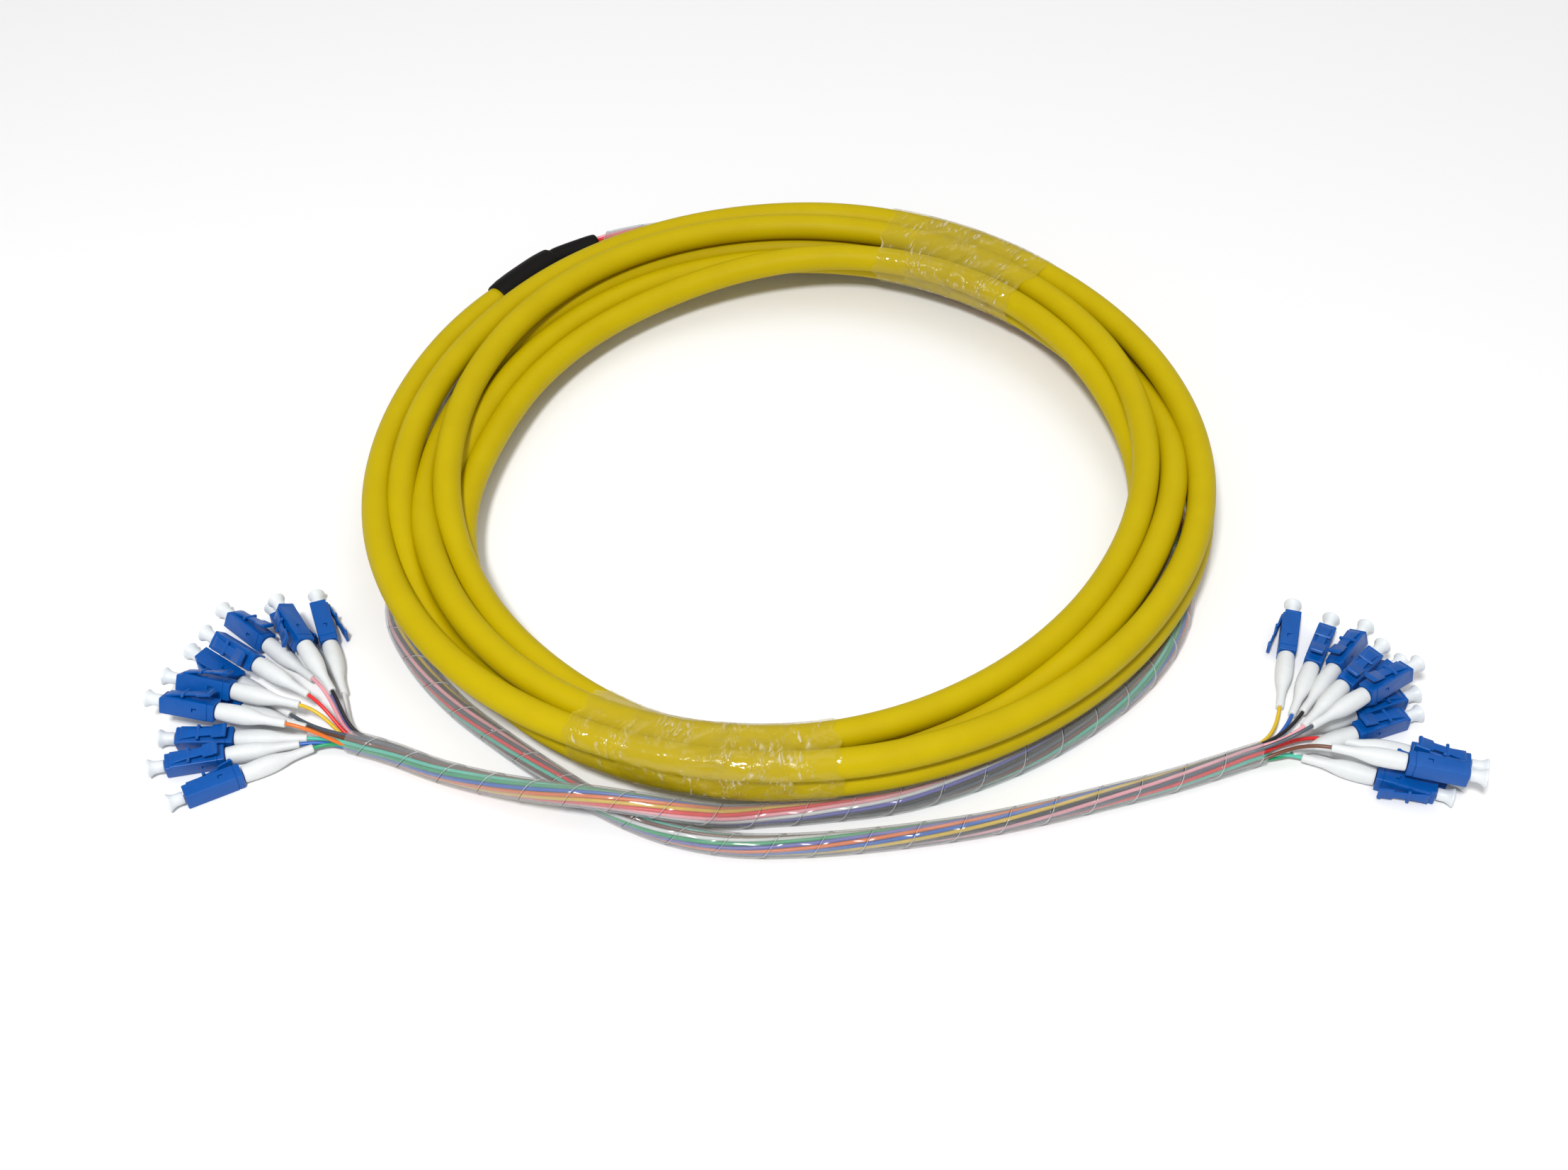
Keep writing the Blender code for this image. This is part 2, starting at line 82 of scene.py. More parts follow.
def polar(azimuth, radius, height):
    """Points from degrees about the coil's centre, a distance from it and a height, in metres."""
    angle = np.radians(azimuth)
    return np.stack([radius * np.cos(angle), radius * np.sin(angle), height + 0 * angle], -1) + COIL_CENTRE


def lengths_along(path):
    """The distance from the start of a path to each of its points."""
    return np.concatenate([[0.0], np.cumsum(np.linalg.norm(np.diff(path, axis=0), axis=1))])


def even_steps(path, step):
    """The same path with its points about one step apart."""
    along = lengths_along(path)
    want = np.linspace(0.0, along[-1], max(2, round(along[-1] / step)) + 1)
    return np.stack([np.interp(want, along, path[:, k]) for k in range(3)], -1)


def smooth_route(points, step):
    """A curve through the points: between b and c, with a before and d after them, it is a cubic in t whose
    slope at each point is half the way from the point before to the point after."""
    ends = np.vstack([2 * points[0] - points[1], points, 2 * points[-1] - points[-2]])
    a, b, c, d = ends[:-3, None], ends[1:-2, None], ends[2:-1, None], ends[3:, None]
    t = np.linspace(0.0, 1.0, STEPS_PER_SPAN, endpoint=False)[None, :, None]
    fine = 0.5 * (2 * b + (c - a) * t + (2 * a - 5 * b + 4 * c - d) * t**2 + (3 * b - a - 3 * c + d) * t**3)
    return even_steps(np.vstack([fine.reshape(-1, 3), points[-1:]]), step)


def directions(path):
    """Unit vectors forward, to the right and upward at each point of a path that is nowhere upright."""
    forward = np.gradient(path, axis=0)
    forward /= np.linalg.norm(forward, axis=1, keepdims=True)
    right = np.cross(forward, [0.0, 0.0, 1.0])
    right /= np.linalg.norm(right, axis=1, keepdims=True)
    return forward, right, np.cross(right, forward)


def tube(path, radius, sides):
    """A grid of points round a path: each is the path's point, plus the radius times the cosine of an angle
    to the right, plus the radius times its sine upward."""
    _, right, up = directions(path)
    angle = np.linspace(0.0, 2 * math.pi, sides, endpoint=False)[None, :, None]
    radius = np.broadcast_to(radius, len(path))[:, None, None]
    return path[:, None] + radius * (np.cos(angle) * right[:, None] + np.sin(angle) * up[:, None])


# %% [markdown]
# ## From a grid of points to a piece
#
# A shape worked out as rows and columns of points becomes a mesh by joining each point to its neighbours.
# Each face corner also gets a place in the piece's own map: the distance along and the distance round, in
# metres. A pattern that follows the cable reads that map.


# %% Meshes from grids
def shell(grid, capped=True):
    """Points, faces and map places of one skin: rows run along it, columns round it, and the last column
    joins the first. Caps close its two ends."""
    rows, columns = grid.shape[:2]
    number = np.arange(rows * columns).reshape(rows, columns)
    beside = np.roll(number, -1, axis=1)
    faces = np.stack([number[:-1], number[1:], beside[1:], beside[:-1]], -1).reshape(-1, 4).tolist()
    along = lengths_along(grid.mean(axis=1))
    girth = np.linalg.norm(grid - np.roll(grid, 1, axis=1), axis=2).sum(axis=1).max()
    round_it = np.arange(columns + 1) / columns * girth
    u = np.stack([along[:-1], along[1:], along[1:], along[:-1]], -1)
    v = np.stack([round_it[:-1], round_it[:-1], round_it[1:], round_it[1:]], -1)
    places = np.stack(np.broadcast_arrays(u[:, None], v[None]), -1).reshape(-1, 2)
    if capped:
        faces += [number[0].tolist(), number[-1][::-1].tolist()]
        places = np.vstack([places, np.zeros((2 * columns, 2))])
    return grid.reshape(-1, 3), faces, places


def joined(shells):
    """Several skins as one."""
    points, faces, places = [], [], []
    count = 0
    for skin_points, skin_faces, skin_places in shells:
        points.append(skin_points)
        faces += [[i + count for i in face] for face in skin_faces]
        places.append(skin_places)
        count += len(skin_points)
    return np.vstack(points), faces, np.vstack(places)


def make_piece(name, skin, material, replaced=(), sharp=None):
    """A piece from a skin, at the origin, with its finish, and with the plain solids that it stands for.
    Edges that turn by more than the sharp angle, in degrees, stay crisp."""
    points, faces, places = skin
    mesh = bpy.data.meshes.new(name)
    mesh.from_pydata(points, [], faces)
    layer = mesh.uv_layers.new(name="along_and_round")
    layer.uv.foreach_set("vector", places.astype(np.float32).ravel())
    mesh.shade_smooth()
    if sharp is not None:
        mesh.set_sharp_from_angle(angle=math.radians(sharp))
    mesh.materials.append(material)
    piece = bpy.data.objects.new(name, mesh)
    bpy.context.scene.collection.objects.link(piece)
    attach(piece, "root")
    if replaced:
        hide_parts(*replaced)
    return piece


# %% [markdown]
# ## Colours and materials
#
# Colours are written as they look on a display and turned into the light values that a shader wants. Each
# kind of node that comes up often has a helper that adds it and gives back what comes out of it, so that a
# material reads as a short list.


# %% Helpers for materials
def colour(hex_colour):
    """A display colour as linear light: below 0.04045 a straight line, above it a power of 2.4."""
    shown = np.array([int(hex_colour[i : i + 2], 16) for i in (0, 2, 4)]) / 255
    linear = np.where(shown <= 0.04045, shown / 12.92, ((shown + 0.055) / 1.055) ** 2.4)
    return (*linear.tolist(), 1.0)


def add_node(tree, kind, settings, links=None):
    """Add a node: settings are its properties or its sockets' values, links are what its sockets read."""
    node = tree.nodes.new(kind)
    for name, value in settings.items():
        if name in node.inputs:
            node.inputs[name].default_value = value
        else:
            setattr(node, name, value)
    for name, source in (links or {}).items():
        tree.links.new(source, node.inputs[name])
    return node


def start_material(name, settings):
    """A material with one shader, and the tree that its other nodes go in."""
    material = bpy.data.materials.new(name)
    material.use_nodes = True
    tree = material.node_tree
    shader = tree.nodes["Principled BSDF"]
    for socket, value in settings.items():
        shader.inputs[socket].default_value = value
    return material, tree, shader


def feed(tree, shader, links):
    """Let sockets of the shader read what other nodes give."""
    for socket, source in links.items():
        tree.links.new(source, shader.inputs[socket])


def noise(tree, size_mm, detail=2.0):
    """Random soft patches of about that size, which stay where they are on the piece: from 0 to 1."""
    place = add_node(tree, "ShaderNodeTexCoord", {}).outputs["Object"]
    settings = {"Scale": 1000 / size_mm, "Detail": detail}
    return add_node(tree, "ShaderNodeTexNoise", settings, {"Vector": place}).outputs["Fac"]


def mapped_noise(tree, along_mm, round_mm, settings):
    """Random patches of about that length and width on the piece's own map: from 0 to 1."""
    place = add_node(tree, "ShaderNodeTexCoord", {}).outputs["UV"]
    scale = (1000 / along_mm, 1000 / round_mm, 1.0)
    stretched = add_node(tree, "ShaderNodeMapping", {"Scale": scale}, {"Vector": place}).outputs["Vector"]
    node = add_node(tree, "ShaderNodeTexNoise", {"Scale": 1.0, **settings}, {"Vector": stretched})
    return node.outputs["Fac"]


def ranged(tree, value, low, high, start=0.0, stop=1.0):
    """A value between start and stop brought to between low and high, and held there."""
    settings = {"From Min": start, "From Max": stop, "To Min": low, "To Max": high}
    return add_node(tree, "ShaderNodeMapRange", settings, {"Value": value}).outputs["Result"]


def combined(tree, operation, *values):
    """A sum, a product, or a product with a third value added. Each value is a number or a node's output."""
    node = add_node(tree, "ShaderNodeMath", {"operation": operation})
    for socket, value in zip(node.inputs, values):
        if isinstance(value, float):
            socket.default_value = value
        else:
            tree.links.new(value, socket)
    return node.outputs["Value"]


def mixed_colour(tree, dark, light, share):
    """A colour between two, by a share from 0 to 1."""
    settings = {"Color1": colour(dark), "Color2": colour(light)}
    return add_node(tree, "ShaderNodeMixRGB", settings, {"Fac": share}).outputs["Color"]


def bumped(tree, height, strength, depth_mm):
    """The surface's direction once a height from 0 to 1 raises it by up to that depth."""
    settings = {"Strength": strength, "Distance": depth_mm * MM}
    return add_node(tree, "ShaderNodeBump", settings, {"Height": height}).outputs["Normal"]


def slant(tree, blend):
    """How far the surface slants away from the eye: from 0 to 1."""
    return add_node(tree, "ShaderNodeLayerWeight", {"Blend": blend}).outputs["Facing"]


print("yellow as light:", [round(v, 3) for v in colour("d9b800")])

# %% [markdown]
# ## The jacket of the trunk cable
#
# The jacket is soft PVC, pushed through a round die while it is hot. That leaves it even and satin, with a
# very fine grain, slight cloudiness where the colour is not perfectly mixed, and faint lines along the
# cable from the die. The lines read the cable's own map, so that they follow every turn. A little light
# goes through it, red further than green, which warms the grooves between the turns.

# %% Extruded PVC, yellow
GRAIN_MM = 0.35
CLOUD_MM = 14.0
DIE_LINE_MM = 0.8
DIE_LINE_LENGTH_MM = 250.0

jacket_pvc, tree, shader = start_material("extruded_yellow_pvc", {
    "IOR": 1.52, "Specular IOR Level": 0.1,
    "Subsurface Weight": 0.25, "Subsurface Radius": (1.0, 0.45, 0.1), "Subsurface Scale": 0.003,
})
grain = noise(tree, GRAIN_MM, detail=1.0)
die_lines = mapped_noise(tree, DIE_LINE_LENGTH_MM, DIE_LINE_MM, {"Detail": 1.0})
feed(tree, shader, {
    "Base Color": mixed_colour(tree, "b69f00", "c0ab00", noise(tree, CLOUD_MM)),
    "Roughness": ranged(tree, grain, 0.44, 0.58),
    "Normal": bumped(tree, combined(tree, "ADD", grain, die_lines), 0.25, 0.04),
})

# %% [markdown]
# ## The trunk cable
#
# The cable is about 4.5 m of one piece, wound in almost six turns. A stiff cable never lies in perfect
# rings: a pass drops under its neighbours, comes up again further on, or drifts to the inside. So each turn
# below is a few places read off the photograph, from the sleeve at the back left all the way to the one at
# the back right. They are joined up and then evened out, as the stiffness of the cable does.

# %% Where each turn lies
# Degrees wound, millimetres from the coil's centre, and height in millimetres
WINDING = [
    # Outermost and on top, round the left and the front to the right
    (140.3, 136.9, 18.0), (150, 136.2, 18.3), (160, 135.4, 18.8), (170, 135.4, 19.2), (180, 136.3, 19.5),
    (190, 137.3, 20.5), (200, 138.4, 22.0), (212, 139.3, 22.5), (222, 139.2, 22.5), (232, 138.4, 22.5),
    (245, 136.6, 22.5), (258, 135.4, 22.5), (270, 134.5, 22.5), (290, 133.8, 22.5), (310, 133.8, 22.5),
    (330, 134.6, 22.5), (345, 136.0, 22.5), (360, 135.9, 22.5),
    # Along the back, in beside the sleeve, and under its own first turn at the front left
    (375, 134.9, 22.5), (390, 133.8, 22.5), (405, 133.2, 22.5), (420, 133.1, 22.5), (440, 132.9, 22.5),
    (462, 133.0, 20.4), (475, 131.6, 20.0), (490, 129.8, 20.0), (502, 128.0, 20.3), (512, 126.0, 21.6),
    (525, 126.0, 22.5), (540, 127.6, 22.5), (550, 129.5, 20.5), (560, 131.2, 17.5), (570, 132.4, 15.8),
    (580, 133.2, 14.3), (590, 132.6, 13.2), (620, 126.0, 13.0), (635, 123.8, 13.0), (660, 123.5, 16.0),
    # Up between the others on the right, and down again at the back right
    (670, 124.6, 19.3), (680, 124.6, 21.5), (690, 124.4, 22.5), (700, 125.0, 22.5), (710, 126.4, 22.4),
    (720, 128.0, 21.0), (728, 128.2, 18.0), (736, 128.2, 15.5), (746, 128.0, 13.6), (760, 127.0, 13.0),
    (800, 124.6, 13.0), (830, 123.2, 13.0), (845, 121.6, 13.0), (860, 119.8, 13.0), (872, 118.8, 13.0),
    # Up on the left, then innermost round the front
    (882, 119.0, 13.6), (892, 119.8, 15.0), (902, 121.0, 16.5), (912, 122.5, 19.0), (922, 123.3, 21.3),
    (935, 125.8, 22.5), (945, 127.3, 22.5), (958, 128.0, 22.5), (970, 127.4, 22.5), (990, 125.0, 22.5),
    (1005, 121.8, 22.5), (1020, 118.5, 22.5), (1035, 116.4, 22.5), (1050, 115.5, 22.5), (1060, 116.0, 22.5),
    (1070, 116.9, 22.5), (1080, 118.5, 22.5),
    # On top along the right and the back, innermost on the left, and down at the front left
    (1090, 120.3, 22.5), (1100, 122.1, 22.5), (1115, 123.7, 22.5), (1130, 124.6, 22.5), (1150, 124.8, 22.5),
    (1170, 124.4, 22.5), (1190, 123.4, 22.5), (1205, 121.8, 22.5), (1220, 119.0, 22.5), (1235, 116.0, 22.5),
    (1250, 114.0, 22.5), (1260, 113.5, 22.5), (1270, 114.2, 21.5), (1280, 114.6, 18.5), (1290, 115.5, 18.0),
    (1300, 117.3, 19.0), (1310, 118.8, 18.6), (1320, 120.0, 17.0), (1330, 120.8, 14.8), (1342, 121.3, 13.1),
    # Below the others at the front, up at the back right, and wide of them along the back left
    (1380, 119.0, 13.0), (1430, 117.8, 13.0), (1440, 117.7, 13.3), (1450, 116.4, 15.4), (1460, 115.3, 17.8),
    (1470, 114.8, 19.5), (1485, 114.5, 20.8), (1500, 113.5, 20.9), (1512, 112.0, 20.5), (1522, 109.9, 20.1),
    (1530, 107.4, 19.4), (1540, 105.5, 17.6), (1550, 104.2, 15.3), (1560, 103.1, 13.6), (1572, 102.0, 13.0),
    (1585, 101.2, 13.0), (1600, 101.4, 13.0), (1610, 102.4, 13.0), (1620, 105.5, 13.0), (1630, 109.4, 13.0),
    (1642, 113.5, 13.0), (1655, 116.6, 13.0), (1675, 119.0, 13.0), (1695, 119.6, 13.0), (1750, 118.5, 13.0),
    # At the bottom all the way round, and out to the sleeve at the back right
    (1775, 123.0, 13.0), (1795, 127.3, 13.0), (1805, 126.5, 13.0), (1820, 121.5, 13.0), (1835, 119.0, 13.0),
    (1870, 117.4, 13.0), (1890, 115.7, 13.0), (1905, 114.4, 13.0), (1920, 113.1, 13.0), (1935, 111.2, 13.0),
    (1950, 109.7, 13.3), (1960, 109.3, 14.0), (1970, 110.2, 14.0), (1980, 113.0, 13.3), (1990, 117.5, 13.0),
    (2000, 122.0, 13.0), (2010, 126.5, 13.0), (2020, 130.3, 13.0), (2030, 133.2, 13.0), (2040, 134.8, 13.0),
    (2055, 134.6, 13.0), (2070, 133.2, 13.0), (2085, 132.6, 13.0), (2100, 132.4, 13.0), (2115, 133.4, 13.0),
    (2130, 135.2, 13.0), (2145, 136.8, 13.0), (2180, 137.0, 13.0), (2236.0, 137.0, 13.0),
]
print(f"{(WINDING[-1][0] - WINDING[0][0]) / 360:.2f} turns")

# %% Wind the trunk cable
CABLE_D = 9.2 * MM
CABLE_SIDES = 28
CABLE_STEP = 4 * MM
EVEN_OUT_DEG = 11


def evened_out(values, count):
    """Each value becomes the mean of those around it, twice over, with the ends held."""
    for _ in range(2):
        ends = np.concatenate([np.full(count // 2, values[0]), values, np.full(count // 2, values[-1])])
        values = np.convolve(ends, np.ones(count) / count, mode="valid")
    return values


degrees, out_mm, height_mm = np.array(WINDING).T
wound = np.linspace(degrees[0], degrees[-1], round(degrees[-1] - degrees[0]) + 1)
trunk_r = evened_out(np.interp(wound, degrees, out_mm), EVEN_OUT_DEG) * MM
trunk_z = evened_out(np.interp(wound, degrees, height_mm), EVEN_OUT_DEG) * MM
trunk_path = even_steps(polar(wound, trunk_r, trunk_z), CABLE_STEP)

trunk = make_piece(
    "trunk_cable", shell(tube(trunk_path, CABLE_D / 2, CABLE_SIDES)), jacket_pvc, replaced=["coil"]
)

# %% [markdown]
# ## The two legs
#
# Past the heat shrink each end is a leg of fibres in clear wrap. One leaves the coil at the back left, slips
# under it, comes out on the right and runs along the front to the left. The other one goes the opposite way
# and passes beneath the first at the front.

# %% Routes of the heat shrink and the legs
OUTER_LANE_R = 135.1 * MM
# The seat of the large sleeves, out from the inner side of the outermost lane
SEAT_OUT = 6.3 * MM
SEAT_R = OUTER_LANE_R - CABLE_D / 2 + SEAT_OUT
LOWER_Z = 13.0 * MM
GAP = 0.3 * MM
STRAIGHT_START = 3.0 * MM
WRAP_D = 7.2 * MM
FLOOR_LEG_Z = WRAP_D / 2
LEG_STEP = 1.5 * MM

# Degrees along from the edge of the open stretch, and millimetres out from the seat
SHRINK_ROUTES = {
    "a": ([(0.3, 0.1), (4.2, 0.6), (8.2, 1.6), (12.0, 2.8)], [(16.0, 3.0), (20.0, 2.6)]),
    "b": ([(0.3, 0.2), (4.0, 0.6), (7.5, 1.2), (11.0, 2.2)], [(14.0, 3.4), (17.0, 4.6)]),
}
# Azimuth in degrees, millimetres out from the outermost lane, and height in millimetres
LEG_ROUTES = {
    "a": [
        (114.0, 3.6, 17.2), (108.0, 2.9, 15.6), (103.0, 2.3, 12.4), (98.0, 0.9, 8.6), (92.0, -1.8, 4.9),
        (85.0, -5.1, 3.6), (70.0, -8.1, 3.6), (50.0, -9.1, 3.6), (25.0, -8.1, 3.6), (0.0, -6.1, 3.6),
        (-15.0, -1.6, 3.6), (-25.0, 2.9, 3.6), (-35.0, 3.9, 3.6), (-46.0, 2.4, 3.6), (-60.0, 0.9, 3.6),
        (-75.0, 0.9, 3.6), (-87.0, 1.2, 3.6), (-93.5, 2.7, 3.6), (-98.0, 5.8, 5.6), (-102.0, 8.9, 9.4),
        (-107.0, 11.1, 11.4), (-113.0, 13.7, 11.4), (-119.0, 17.1, 9.2), (-125.0, 20.7, 6.2),
        (-131.0, 25.4, 3.9), (-136.5, 30.9, 3.6), (-140.75, 37.9, 3.6),
    ],
    "b": [
        (97.0, 8.9, 9.0), (103.0, 10.1, 4.8), (110.0, 10.3, 3.6), (120.0, 8.4, 3.6), (132.0, 3.9, 3.6),
        (145.0, -2.1, 3.6), (160.0, -6.1, 3.6), (178.0, -6.6, 3.6), (192.0, -3.6, 3.6), (201.0, 1.4, 3.6),
        (207.0, 4.9, 3.6), (215.0, 5.5, 3.6), (223.0, 5.4, 3.6), (231.0, 5.1, 3.6), (239.0, 6.5, 3.6),
        (247.0, 9.7, 3.6), (255.0, 12.9, 3.6), (263.0, 14.1, 3.6), (271.0, 13.3, 3.6), (280.0, 13.3, 3.6),
        (290.0, 15.9, 3.6), (298.0, 19.9, 3.6), (306.0, 26.1, 3.6), (313.0, 34.4, 3.6), (321.2, 47.0, 3.6),
    ],
}
# Azimuth of the edge of the open stretch, which way the sleeves go from it, and their height
ENDS = {"a": (141.3, -1, LOWER_Z + 5.0 * MM), "b": (75.0, 1, LOWER_Z)}


def shrink_route(points_mm, end):
    """Points beside the open stretch of the coil, going round from one edge of it."""
    edge_az, way, height = ENDS[end]
    along, out = np.array(points_mm).T
    return polar(edge_az + way * along, SEAT_R + out * MM, height)


def carried_on(before, points):
    """A route that starts a clearance beyond the end of another one, in line with it."""
    onward = before[-1] - before[-2]
    onward = onward / np.linalg.norm(onward)
    return np.vstack([before[-1] + onward * GAP, before[-1] + onward * (GAP + STRAIGHT_START), points])


large_routes, small_routes, leg_paths = {}, {}, {}
for end in "ab":
    large_mm, small_mm = SHRINK_ROUTES[end]
    large_routes[end] = shrink_route(large_mm, end)
    small_routes[end] = carried_on(large_routes[end], shrink_route(small_mm, end))
    azimuth, out, height = np.array(LEG_ROUTES[end]).T
    leg = carried_on(small_routes[end], polar(azimuth, OUTER_LANE_R + out * MM, height * MM))
    leg_paths[end] = smooth_route(leg, LEG_STEP)
    leg_paths[end][:, 2] = np.maximum(leg_paths[end][:, 2], FLOOR_LEG_Z)
    print(f"leg {end}: {lengths_along(leg_paths[end])[-1] * 1000:.0f} mm")

# %% [markdown]
# ## Plugs at the ends of the fibres
#
# Each plug lies where the photograph shows it: some flat on the table, some propped on their neighbours and
# rolled over. A plug's own frame has X out of its front face and Z towards its latch, and this cell works
# out where each of those frames lies.

# %% Where each plug lies
HOUSING_L = 17.6 * MM
HOUSING_W = 5.7 * MM
BOOT_L = 21.8 * MM

# Where the boot's narrow end lies from the end of the wrap in millimetres, the heading in degrees, the
# height of what the housing lies on, and the latch's roll from straight up
PLUGS = {
    "a": [
        (-10.5, -2.3, 208.0, 0.1, 90.0), (-14.7, -1.2, 192.0, 0.1, -8.0), (-12.6, 0.9, 180.0, 0.1, -12.0),
        (-17.8, 0.3, 167.0, 7.5, 25.0), (-15.1, 8.4, 165.0, 6.4, 35.0), (-19.5, 10.8, 144.0, 0.1, -90.0),
        (-13.0, 12.3, 145.0, 6.4, -40.0), (-14.8, 24.6, 139.0, 0.1, 30.0), (-6.1, 14.1, 122.0, 6.4, -60.0),
        (-4.4, 19.0, 110.0, 0.1, 90.0), (-13.9, 5.6, 162.0, 0.1, 90.0), (-8.1, 19.0, 124.0, 0.1, 90.0),
    ],
    "b": [
        (8.6, 18.5, 75.0, 0.1, -90.0), (11.8, 15.3, 64.0, 0.1, 0.0), (15.0, 15.7, 53.5, 0.1, -20.0),
        (12.4, 5.3, 47.0, 6.4, 8.0), (14.0, 2.9, 34.0, 9.3, -12.0), (10.4, 7.1, 22.1, 0.1, 0.0),
        (9.2, 0.0, 21.0, 0.1, 0.0), (23.2, 5.2, 346.0, 0.1, -6.1), (18.5, -4.6, 345.0, 8.9, -90.0),
        (11.9, -1.4, 340.0, 0.1, 90.0), (16.1, 2.2, 343.0, 0.1, 0.0), (14.9, 10.0, 38.0, 0.1, -90.0),
    ],
}


def plug_frame(end, plug):
    """The middle of a plug's front face, and the turn whose columns are the plug's X, Y and Z."""
    x, y, heading, base, roll = plug
    turn, tilt = math.radians(heading), math.radians(roll)
    # A rolled square stands on its corner, so its middle lies higher
    height = base * MM + HOUSING_W / 2 * (abs(math.cos(tilt)) + abs(math.sin(tilt)))
    forward = np.array([math.cos(turn), math.sin(turn), 0.0])
    left = np.array([-math.sin(turn), math.cos(turn), 0.0])
    up = np.array([0.0, 0.0, 1.0])
    boot_end = leg_paths[end][-1] * [1, 1, 0] + np.array([x * MM, y * MM, height])
    front = boot_end + forward * (BOOT_L + GAP + HOUSING_L)
    columns = [
        forward,
        math.cos(tilt) * left + math.sin(tilt) * up,
        math.cos(tilt) * up - math.sin(tilt) * left,
    ]
    return front, np.stack(columns, -1)


def placed(skin, front, turn):
    """A skin moved from a plug's own frame to where the plug lies."""
    points, faces, places = skin
    return points @ turn.T + front, faces, places


plug_frames = {end: [plug_frame(end, plug) for plug in PLUGS[end]] for end in "ab"}
print(len(PLUGS["a"]) + len(PLUGS["b"]), "plugs")

# %% [markdown]
# ## Fibres
#
# A bared fibre is a hair of glass in a coloured coat about a millimetre thick, smooth and slightly glossy.
# The twelve colours are the usual twelve of the trade, so that each fibre can be told at both ends. Inside
# the wrap they lie side by side in a ring that twists slowly, and past it each one bends to its own plug.

# %% Coats of the fibres
FIBRE_HEX = {
    "blue": "1f5fb8", "orange": "e07020", "green": "159a63", "brown": "6a3f2a", "slate": "4d5560",
    "white": "d4d7d6", "red": "e02a2a", "black": "17181c", "yellow": "d9b41c", "violet": "5c5cae",
    "rose": "eda2ac", "aqua": "4fc0a6",
}
FIBRE_CLOUD_MM = 6.0

fibre_coats = {}
for name, hex_colour in FIBRE_HEX.items():
    coat, tree, shader = start_material(f"coated_fibre_{name}", {"Roughness": 0.35, "IOR": 1.5})
    brightness = ranged(tree, noise(tree, FIBRE_CLOUD_MM), 0.85, 1.12)
    shaded = add_node(tree, "ShaderNodeHueSaturation", {"Color": colour(hex_colour)}, {"Value": brightness})
    feed(tree, shader, {"Base Color": shaded.outputs["Color"]})
    fibre_coats[name] = coat
print(len(fibre_coats), "colours of fibre")

# %% Paths of the fibres
FIBRE_D = 1.2 * MM
FIBRE_SIDES = 10
FIBRE_RING_R = 2.3 * MM
FIBRE_TWIST = 240.0 * MM
FIBRE_EVERY = 3
FREE_BEFORE_END = 3 * MM
BEND_REACH = 0.42
BEND_STEPS = 28
IN_BOOT = 1.0 * MM
FIBRE_COLOURS = {
    "a": "green blue aqua orange yellow slate red rose black white brown violet".split(),
    "b": "yellow blue black rose slate violet green red brown aqua white orange".split(),
}
# Degrees up from the right in the ring, for the plugs from the leftmost to the rightmost
RING_DEG = [180, 210, 150, 240, 120, 270, 90, 300, 60, 330, 30, 0]


def fibre_path(leg, ring_angle, boot_end, heading):
    """Beside the leg's own path, at an angle that grows with the distance, then a cubic bend to the boot."""
    along = lengths_along(leg)
    forward, right, up = directions(leg)
    angle = (ring_angle + 2 * math.pi * (along - along[-1]) / FIBRE_TWIST)[:, None]
    bundled = leg + FIBRE_RING_R * (np.cos(angle) * right + np.sin(angle) * up)
    bundled = bundled[: -round(FREE_BEFORE_END / (along[1] - along[0]))]
    start, stop = bundled[-1], boot_end
    reach = np.linalg.norm(stop - start) * BEND_REACH
    t = np.linspace(0.0, 1.0, BEND_STEPS)[1:, None]
    b, c = start + forward[-1] * reach, stop - heading * reach
    bend = start * (1 - t) ** 3 + 3 * b * t * (1 - t) ** 2 + 3 * c * t**2 * (1 - t) + stop * t**3
    return np.vstack([bundled, bend])


# Every third point of a leg is close enough to run its fibres along
fibre_paths = {}
for end in "ab":
    leg = leg_paths[end][::FIBRE_EVERY]
    _, right, _ = directions(leg)
    backs = [front - turn[:, 0] * HOUSING_L for front, turn in plug_frames[end]]
    order = np.argsort([float((back - leg[-1]) @ right[-1]) for back in backs])
    for ring_angle, plug in zip(np.radians(RING_DEG), order):
        front, turn = plug_frames[end][plug]
        boot_end = front - turn[:, 0] * (HOUSING_L + GAP + BOOT_L - IN_BOOT)
        fibre_paths[end, int(plug)] = fibre_path(leg, ring_angle, boot_end, turn[:, 0])
print(f"fibres from {min(lengths_along(p)[-1] for p in fibre_paths.values()):.2f} m long")

# %% [markdown]
# ## Clear spiral wrap
#
# The wrap is a soft clear tube with one cut that runs round and round it, so it is really a long flat strip
# wound into a tube. Where it bends, the cut opens a little. The strip is worked out that way: along it goes
# the angle, across it the distance along the leg, and it has a real thickness, which gives bright edges. A
# pale bead along the cut adds a line there, partly the frosting of the cut plastic and partly painted
# highlight.

# %% Wind the strips
WRAP_PITCH = 13.8 * MM
WRAP_SLIT = 0.5 * MM
WRAP_WALL = 0.5 * MM
WRAP_STEPS = 28
BEAD_SIDES = 8
RIPPLE_MM = 3.0
CUT_GRAIN_MM = 1.5
# Turns by which the strip starts before the leg and stops before its end
WRAP_EARLY = 0.3
WRAP_SHORT = 0.1


